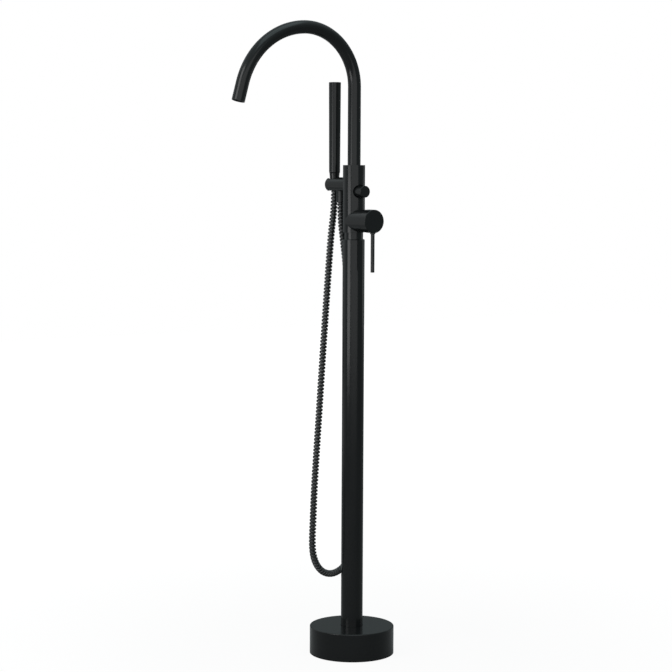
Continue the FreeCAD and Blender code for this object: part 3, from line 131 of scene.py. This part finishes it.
def noise(tree, place, scale, detail=2.0, roughness=0.5):
    texture = add(tree, "ShaderNodeTexNoise", Scale=scale, Detail=detail)
    texture.inputs["Roughness"].default_value = roughness
    link(tree, place, texture.inputs["Vector"])
    return texture.outputs["Fac"]


def span(tree, value, low, high, start=0.0, end=1.0):
    """Value from start to end mapped to low to high."""
    node = add(tree, "ShaderNodeMapRange")
    node.inputs["From Min"].default_value = start
    node.inputs["From Max"].default_value = end
    node.inputs["To Min"].default_value = low
    node.inputs["To Max"].default_value = high
    link(tree, value, node.inputs["Value"])
    return node.outputs["Result"]


def tint(tree, value, first, second):
    """First colour where the value is 0, second colour where it is 1."""
    mix = tree.nodes.new("ShaderNodeMix")
    mix.data_type = "RGBA"
    mix.inputs["A"].default_value = (*first, 1)
    mix.inputs["B"].default_value = (*second, 1)
    link(tree, value, mix.inputs["Factor"])
    return mix.outputs["Result"]


def blend_values(tree, factor, first, second):
    """First value where the factor is 0, second value where it is 1."""
    mix = tree.nodes.new("ShaderNodeMix")
    link(tree, first, mix.inputs["A"])
    link(tree, second, mix.inputs["B"])
    link(tree, factor, mix.inputs["Factor"])
    return mix.outputs["Result"]


def in_reflections(tree, rays):
    """1 to glossy and transmission rays, 0 to all others."""
    return combine(tree, "MAXIMUM", rays.outputs["Is Glossy Ray"],
                   rays.outputs["Is Transmission Ray"])


def bump(tree, height, strength, distance, rounding=0.0):
    """Bump from a height, over edges rounded by a small radius in metres."""
    node = add(tree, "ShaderNodeBump", Strength=strength, Distance=distance)
    link(tree, height, node.inputs["Height"])
    if rounding:
        edge = add(tree, "ShaderNodeBevel", samples=4, Radius=rounding)
        link(tree, edge.outputs["Normal"], node.inputs["Normal"])
    return node.outputs["Normal"]


def powder_coat(name, colour, lighter, roughness, specular):
    """Matt black coating: orange peel, slight cloudiness and soft edges."""
    material, tree, shader = surface(name, colour, roughness,
                                     specular=specular)
    place = coordinates(tree)
    cloud = noise(tree, place, scale=22, detail=3)
    grain = noise(tree, place, scale=1500, detail=2, roughness=0.6)
    peel = noise(tree, place, scale=520, detail=1)
    link(tree, tint(tree, cloud, colour, lighter), shader.inputs["Base Color"])
    link(tree, span(tree, grain, roughness - 0.02, roughness + 0.04),
         shader.inputs["Roughness"])
    relief = bump(tree, combine(tree, "ADD", grain, peel),
                  strength=0.12, distance=0.0002, rounding=0.0005)
    link(tree, relief, shader.inputs["Normal"])
    return material


def brass():
    """Machined brass: fine grain and slightly uneven colour."""
    material, tree, shader = surface("turned_brass", (0.60, 0.43, 0.18),
                                     roughness=0.30, metallic=1.0)
    place = coordinates(tree)
    grain = noise(tree, place, scale=900)
    cloud = noise(tree, place, scale=60)
    relief = bump(tree, grain, strength=0.15, distance=0.0001,
                  rounding=0.0002)
    link(tree, span(tree, grain, 0.24, 0.42), shader.inputs["Roughness"])
    link(tree, tint(tree, cloud, (0.55, 0.38, 0.15), (0.66, 0.49, 0.22)),
         shader.inputs["Base Color"])
    link(tree, relief, shader.inputs["Normal"])
    return material


def coated_steel():
    """Zinc coated steel: dull grey with faint spangle."""
    material, tree, shader = surface("zinc_steel", (0.34, 0.35, 0.37),
                                     roughness=0.42, metallic=0.9)
    place = coordinates(tree)
    cells = add(tree, "ShaderNodeTexVoronoi", Scale=160.0)
    link(tree, place, cells.inputs["Vector"])
    parts = add(tree, "ShaderNodeSeparateColor")
    link(tree, cells.outputs["Color"], parts.inputs[0])
    spangle = parts.outputs[0]
    relief = bump(tree, noise(tree, place, scale=700), strength=0.15,
                  distance=0.0001, rounding=0.0003)
    link(tree, tint(tree, spangle, (0.30, 0.31, 0.33), (0.38, 0.39, 0.41)),
         shader.inputs["Base Color"])
    link(tree, relief, shader.inputs["Normal"])
    return material


def oxide_steel():
    """Black oxide screws."""
    material, tree, shader = surface("oxide_steel", (0.035, 0.035, 0.038),
                                     roughness=0.38, metallic=0.7)
    grain = noise(tree, coordinates(tree), scale=1300)
    relief = bump(tree, grain, strength=0.2, distance=0.0001,
                  rounding=0.0002)
    link(tree, span(tree, grain, 0.30, 0.48), shader.inputs["Roughness"])
    link(tree, relief, shader.inputs["Normal"])
    return material


def rubber(name, colour, lighter):
    """Dull rubber with a fine moulded grain."""
    material, tree, shader = surface(name, colour, roughness=0.72,
                                     specular=0.4)
    place = coordinates(tree)
    grain = noise(tree, place, scale=1100, detail=3)
    cloud = noise(tree, place, scale=90)
    relief = bump(tree, grain, strength=0.2, distance=0.0002,
                  rounding=0.0002)
    link(tree, tint(tree, cloud, colour, lighter),
         shader.inputs["Base Color"])
    link(tree, span(tree, grain, 0.64, 0.84), shader.inputs["Roughness"])
    link(tree, relief, shader.inputs["Normal"])
    return material


def plastic(name, colour, darker, roughness):
    """Moulded plastic with a very fine spark-eroded texture."""
    material, tree, shader = surface(name, colour, roughness,
                                     specular=0.45)
    place = coordinates(tree)
    grain = noise(tree, place, scale=1800)
    cloud = noise(tree, place, scale=40)
    relief = bump(tree, grain, strength=0.15, distance=0.0001,
                  rounding=0.0002)
    link(tree, tint(tree, cloud, colour, darker),
         shader.inputs["Base Color"])
    link(tree, span(tree, grain, roughness - 0.06, roughness + 0.08),
         shader.inputs["Roughness"])
    link(tree, relief, shader.inputs["Normal"])
    return material


def braid():
    """Stainless braid round a supply hose: two crossing sets of wires, with
    painted shade in the gaps between them.
    """
    material, tree, shader = surface("steel_braid", (0.36, 0.37, 0.39),
                                     roughness=0.38, metallic=0.9)
    place = coordinates(tree)
    wire_slope = 0.6
    heights = []
    for turn in (wire_slope, -wire_slope):
        mapping = add(tree, "ShaderNodeMapping")
        mapping.inputs["Rotation"].default_value = (turn, turn, 0)
        link(tree, place, mapping.inputs["Vector"])
        wave = add(tree, "ShaderNodeTexWave", bands_direction="Z", Scale=260.0)
        link(tree, mapping.outputs["Vector"], wave.inputs["Vector"])
        heights.append(wave.outputs["Fac"])
    wire_height_and_gap_shade = combine(tree, "MAXIMUM", *heights)
    # Base colour darker between the wires and lighter on their tops: painted
    # shade in the gaps and a painted sheen on the wires.
    link(tree, tint(tree, wire_height_and_gap_shade, (0.20, 0.21, 0.23), (0.46, 0.47, 0.49)),
         shader.inputs["Base Color"])
    link(tree, bump(tree, wire_height_and_gap_shade, strength=0.6, distance=0.0004),
         shader.inputs["Normal"])
    return material


BLACK = (0.0045, 0.0050, 0.0052)
BLACK_LIGHTER = (0.0061, 0.0067, 0.0070)
coat = powder_coat("black_coat", BLACK, BLACK_LIGHTER,
                   roughness=0.16, specular=0.25)
coat_hose = powder_coat("black_hose", BLACK, BLACK_LIGHTER,
                        roughness=0.22, specular=0.60)
FINISH = {
    "black_coat": coat,
    "brass": brass(),
    "steel": oxide_steel(),
    "flange_steel": coated_steel(),
    "rubber": rubber("black_rubber", (0.012, 0.012, 0.012),
                     (0.020, 0.020, 0.020)),
    "spray_rubber": rubber("spray_rubber", (0.030, 0.031, 0.033),
                           (0.040, 0.041, 0.043)),
    "black_plastic": plastic("black_plastic", (0.014, 0.014, 0.015),
                             (0.010, 0.010, 0.011), roughness=0.5),
    "white_plastic": plastic("white_plastic", (0.62, 0.62, 0.60),
                             (0.56, 0.56, 0.54), roughness=0.42),
    "braid": braid(),
    "hose_metal": coat_hose,
}
for entry in frame["record"]["subparts"]:
    mesh = nodes[entry["node"]].data
    mesh.materials.clear()
    # The brass nipple is coated like the arm that it hangs from.
    coated = entry["node"] == "hose_nipple"
    finish = coat if coated else FINISH[entry["material_slot"]]
    mesh.materials.append(finish)


# ----------------------------------------------------------- hanging hose
# Points of the hose's route, in metres, from the outlet nut down, round the
# loop and up to the handset's nut.
HOSE_ROUTE = [
    (0.0000, -0.0420, 0.8273), (0.0000, -0.0420, 0.7970),
    (-0.0061, -0.0419, 0.7560), (-0.0146, -0.0421, 0.6900),
    (-0.0238, -0.0443, 0.6000), (-0.0330, -0.0491, 0.4900),
    (-0.0412, -0.0556, 0.3850), (-0.0495, -0.0628, 0.2970),
    (-0.0560, -0.0687, 0.2355), (-0.0583, -0.0693, 0.1985),
    (-0.0492, -0.0668, 0.1735), (-0.0237, -0.0595, 0.1465),
    (0.0033, -0.0518, 0.1378), (0.0283, -0.0447, 0.1415),
    (0.0482, -0.0391, 0.1549), (0.0613, -0.0353, 0.1758),
    (0.0658, -0.0341, 0.2035), (0.0628, -0.0349, 0.2526),
    (0.0602, -0.0356, 0.3070), (0.0531, -0.0386, 0.3780),
    (0.0453, -0.0423, 0.4500), (0.0366, -0.0469, 0.5300),
    (0.0272, -0.0514, 0.6150), (0.0180, -0.0554, 0.7000),
    (0.0102, -0.0584, 0.7720), (0.0000, -0.0632, 0.8180),
    (0.0000, -0.0632, 0.8505),
]
HOSE_DIAMETER = 0.012
HOSE_PITCH = 0.00643
ROUTE_RESOLUTION = 24
POINTS_AROUND = 20
RINGS_PER_TURN = 16
# Of the distance from the middle of a turn to the middle of its groove, where
# the groove begins and how wide its flank is; then the shares of the radius.
GROOVE_START = 0.48
GROOVE_FLANK = 0.34
RIDGE_SHARE = 1.07
RIDGE_ROUNDING = 0.02
GROOVE_DEPTH = 0.40
END_SHARE = 0.9
SMOOTH_END = 0.006


def spline_points(route, resolution):
    """Points along the smooth line that the route's points control."""
    data = bpy.data.curves.new("route", "CURVE")
    data.dimensions = "3D"
    data.resolution_u = resolution
    spline = data.splines.new("NURBS")
    spline.points.add(len(route) - 1)
    for point, place in zip(spline.points, route):
        point.co = (*place, 1)
    spline.order_u = 3
    spline.use_endpoint_u = True
    helper = bpy.data.objects.new("route", data)
    mesh = bpy.data.meshes.new_from_object(helper)
    points = np.array([vertex.co for vertex in mesh.vertices])
    bpy.data.objects.remove(helper)
    bpy.data.meshes.remove(mesh)
    bpy.data.curves.remove(data)
    return points


def along(points, step):
    """The same line at even steps, with its length."""
    gaps = np.linalg.norm(np.diff(points, axis=0), axis=1)
    travelled = np.concatenate([[0], np.cumsum(gaps)])
    total = travelled[-1]
    stations = np.linspace(0, total, int(round(total / step)) + 1)
    even = [np.interp(stations, travelled, points[:, axis])
            for axis in range(3)]
    return np.stack(even, 1), stations, total


def sides_along(points):
    """Two directions across the line that turn as little as possible."""
    tangents = np.gradient(points, axis=0)
    tangents /= np.linalg.norm(tangents, axis=1)[:, None]
    side = np.cross(tangents[0], (1.0, 0.0, 0.0))
    sides = []
    for tangent in tangents:
        side = side - tangent * side.dot(tangent)
        side = side / np.linalg.norm(side)
        sides.append(side)
    sides = np.array(sides)
    return sides, np.cross(tangents, sides)


def make_hose():
    """Spiral wound hose: flat topped turns with a groove between them."""
    line = spline_points(HOSE_ROUTE, ROUTE_RESOLUTION)
    centre, stations, total = along(line, HOSE_PITCH / RINGS_PER_TURN)
    across, beside = sides_along(centre)
    angles = np.linspace(0, 2 * math.pi, POINTS_AROUND, endpoint=False)

    # Left-handed: the winding's phase grows along the hose and round it.
    phase = stations[:, None] / HOSE_PITCH + angles[None, :] / (2 * math.pi)
    wrapped = np.abs((phase % 1.0) - 0.5) * 2
    fall = np.clip((wrapped - GROOVE_START) / GROOVE_FLANK, 0, 1)
    groove = fall ** 2 * (3 - 2 * fall)
    plain = HOSE_DIAMETER / 2
    radius = plain * (RIDGE_SHARE - RIDGE_ROUNDING * wrapped ** 2
                      - GROOVE_DEPTH * groove)
    from_end = np.minimum(stations, total - stations)
    wound = np.clip(from_end / SMOOTH_END, 0, 1)[:, None]
    radius = radius * wound + plain * END_SHARE * (1 - wound)

    outward = (np.cos(angles)[None, :, None] * across[:, None, :]
               + np.sin(angles)[None, :, None] * beside[:, None, :])
    rings = centre[:, None, :] + radius[:, :, None] * outward
    index = np.arange(len(centre) * POINTS_AROUND).reshape(len(centre), -1)
    nearer = index[:-1]
    further = index[1:]
    quads = np.stack([nearer, np.roll(nearer, -1, 1),
                      np.roll(further, -1, 1), further], 2)
    faces = quads.reshape(-1, 4).tolist()
    faces.append(index[0][::-1].tolist())
    faces.append(index[-1].tolist())
    mesh = bpy.data.meshes.new("shower_hose_spiral")
    mesh.from_pydata(rings.reshape(-1, 3).tolist(), [], faces)
    mesh.polygons.foreach_set("use_smooth", [True] * len(mesh.polygons))
    mesh.materials.append(coat_hose)
    mesh.validate()
    hose = bpy.data.objects.new("shower_hose_spiral", mesh)
    scene.collection.objects.link(hose)
    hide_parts("shower_hose")
    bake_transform(hose)


make_hose()


# ---------------------------------------------------------- studio and floor

# Brightness of the room, first beside the object and then behind it, to
# diffuse rays and in reflections, and the ceiling that reflections also show,
# which comes in between two heights of the direction.
ROOM_TO_DIFFUSE = (0.50, 0.46)
ROOM_IN_REFLECTIONS = (0.34, 0.17)
CEILING_IN_REFLECTIONS = (0, 0.38)
CEILING_START = 0.30
CEILING_END = 0.75
ROOM_HUE = (0.86, 1.0, 1.02)
WHITE = (1, 1, 1)

# The floor's own colour, its glow, and the share of the glow that rays see.
FLOOR_HALF_SIZE = 6.0
FLOOR_DROP = 0.0005
FLOOR_COLOUR = (0.28, 0.28, 0.28)
FLOOR_ROUGHNESS = 0.9
FLOOR_GLOW = 1.10
GLOW_IN_REFLECTIONS = 0.06
GLOW_NEAR = 0.85
GLOW_FAR = 1.0
NEAR = 0.3
FAR = 2.5

# Name, place as metres to the image's right, towards the camera and up, the
# height on the column's axis that it faces, width, height, watts and colour.
LIGHTS = [
    ("left_box", (-1.22, 1.03, 0.61), 0.61, 0.90, 0.52, 5.9, WHITE),
    ("left_upper", (-1.22, 1.03, 1.17), 1.17, 0.90, 0.60, 3.2, WHITE),
    ("left_back", (-1.87, -0.72, 1.31), 1.31, 2.2, 2.6, 5.8, WHITE),
    ("left_top", (-1.22, 1.03, 1.85), 1.10, 0.90, 0.70, 8.0, WHITE),
    ("front_wall", (0.67, 4.47, 1.8), 1.8, 6.7, 3.6, 88, WHITE),
    ("top_box", (0.2, 0.4, 2.6), 0.6, 1.4, 1.4, 8, (0.80, 1.0, 1.02)),
    ("right_strip", (1.75, -0.97, 0.66), 0.66, 0.6, 0.46, 0.7, WHITE),
]


def make_world():
    """White to the camera; a dim room, with a ceiling in reflections."""
    world = bpy.data.worlds.new("studio")
    scene.world = world
    world.use_nodes = True
    tree = world.node_tree
    background = tree.nodes["Background"]
    rays = add(tree, "ShaderNodeLightPath")
    to_camera = rays.outputs["Is Camera Ray"]
    direction = add(tree, "ShaderNodeTexCoord").outputs["Generated"]
    behind = add(tree, "ShaderNodeVectorMath", operation="DOT_PRODUCT")
    behind.inputs[1].default_value = -TOWARDS_CAMERA
    link(tree, direction, behind.inputs[0])
    depth = behind.outputs["Value"]
    axes = tree.nodes.new("ShaderNodeSeparateXYZ")
    link(tree, direction, axes.inputs[0])
    ceiling = span(tree, axes.outputs["Z"], *CEILING_IN_REFLECTIONS,
                   start=CEILING_START, end=CEILING_END)
    walls = span(tree, depth, *ROOM_IN_REFLECTIONS)
    reflected = combine(tree, "ADD", walls, ceiling)
    room = blend_values(tree, in_reflections(tree, rays),
                        span(tree, depth, *ROOM_TO_DIFFUSE), reflected)
    strength = span(tree, to_camera, 0, 1)
    link(tree, room, strength.node.inputs["To Min"])
    link(tree, strength, background.inputs["Strength"])
    link(tree, tint(tree, to_camera, ROOM_HUE, WHITE),
         background.inputs["Color"])


def make_floor():
    """Pale floor with a faint shadow; further out it is the white backdrop."""
    half = FLOOR_HALF_SIZE
    mesh = bpy.data.meshes.new("floor")
    corners = [(x, y, -FLOOR_DROP) for x, y in
               ((-half, -half), (half, -half), (half, half), (-half, half))]
    mesh.from_pydata(corners, [], [(0, 1, 2, 3)])
    material, tree, shader = surface("floor", FLOOR_COLOUR, FLOOR_ROUGHNESS)
    glow = add(tree, "ShaderNodeEmission", Strength=FLOOR_GLOW)
    rays = add(tree, "ShaderNodeLightPath")
    reach = add(tree, "ShaderNodeVectorMath", operation="LENGTH")
    link(tree, coordinates(tree), reach.inputs[0])
    to_camera = span(tree, reach.outputs["Value"], GLOW_NEAR, GLOW_FAR,
                     start=NEAR, end=FAR)
    to_reflections = span(tree, in_reflections(tree, rays),
                          0, GLOW_IN_REFLECTIONS)
    share = span(tree, rays.outputs["Is Camera Ray"], 0, 1)
    link(tree, to_reflections, share.node.inputs["To Min"])
    link(tree, to_camera, share.node.inputs["To Max"])
    mix = add(tree, "ShaderNodeMixShader")
    link(tree, share, mix.inputs[0])
    link(tree, shader.outputs[0], mix.inputs[1])
    link(tree, glow.outputs[0], mix.inputs[2])
    link(tree, mix.outputs[0],
         tree.nodes["Material Output"].inputs["Surface"])
    mesh.materials.append(material)
    floor = bpy.data.objects.new("floor", mesh)
    scene.collection.objects.link(floor)


def soft_box(name, place, facing_height, width, height, power, colour):
    """Rectangular light that faces the column's axis."""
    data = bpy.data.lights.new(name, "AREA")
    data.shape = "RECTANGLE"
    data.size = width
    data.size_y = height
    data.energy = power
    data.color = colour
    light = bpy.data.objects.new(name, data)
    scene.collection.objects.link(light)
    right, towards, up = place
    location = IMAGE_RIGHT * right + TOWARDS_CAMERA * towards + UP * up
    direction = UP * facing_height - location
    light.rotation_euler = direction.to_track_quat("-Z", "Y").to_euler()
    light.location = location


make_world()
make_floor()
for row in LIGHTS:
    soft_box(*row)

scene.view_settings.view_transform = "Standard"
